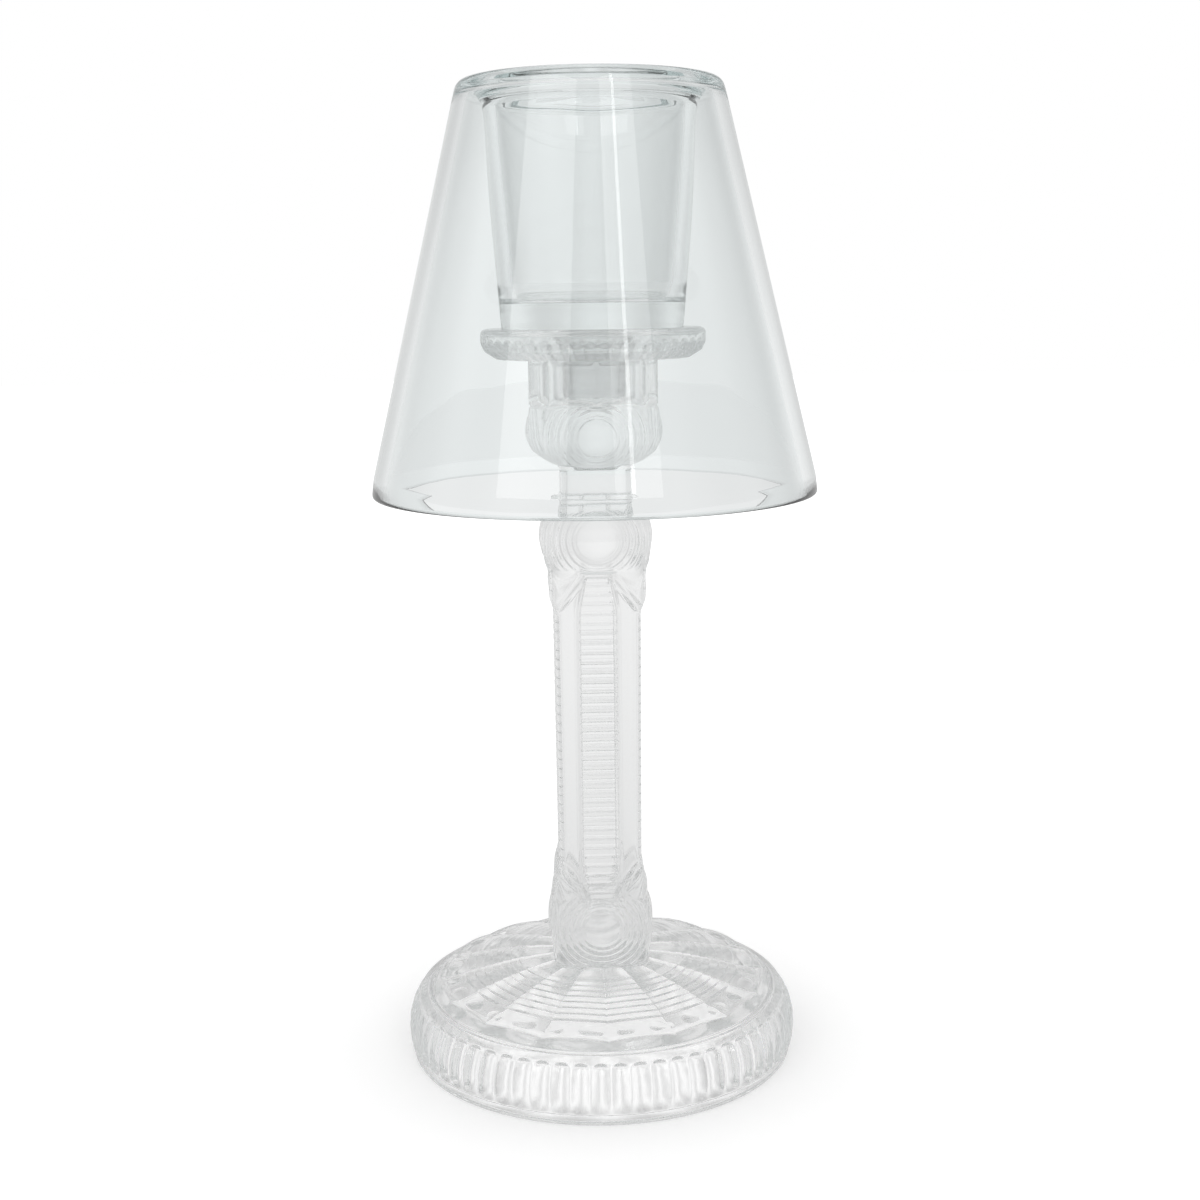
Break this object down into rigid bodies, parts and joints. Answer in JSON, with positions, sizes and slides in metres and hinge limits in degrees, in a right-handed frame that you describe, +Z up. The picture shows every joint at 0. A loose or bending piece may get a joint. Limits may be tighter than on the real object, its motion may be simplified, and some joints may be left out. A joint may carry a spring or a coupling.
{
  "type": "tea light holder",
  "caption": "Clear glass tea light holder shaped like a table lamp: an ornate pressed candlestick, a votive cup in its socket and a glass lampshade over the cup.",
  "frame": {"origin": "centre of the foot, on the surface that it stands on", "axes": "+Z up along the holder's axis; the front rosettes and ladder panel face -Y"},
  "size_m": [0.1278, 0.1278, 0.2824],
  "materials": {
    "pressed_glass": "clear pressed glass, fire polished, with fine mould relief",
    "cup_glass": "clear smooth glass",
    "shade_glass": "clear blown glass with a faint cool tint",
    "clear_rubber": "translucent soft plastic"
  },
  "bodies": {
    "candlestick": {"candlestick": "pressed_glass"},
    "cup": {"votive_cup": "cup_glass", "peg_sleeve": "clear_rubber"},
    "shade": {"glass_shade": "shade_glass"}
  },
  "joints": [
    {"name": "cup_lift", "type": "slide", "parent": "candlestick", "child": "cup", "axis": [0, 0, 1], "range_m": [0, 0.04]},
    {"name": "shade_lift", "type": "slide", "parent": "cup", "child": "shade", "axis": [0, 0, 1], "range_m": [0, 0.125]}
  ]
}
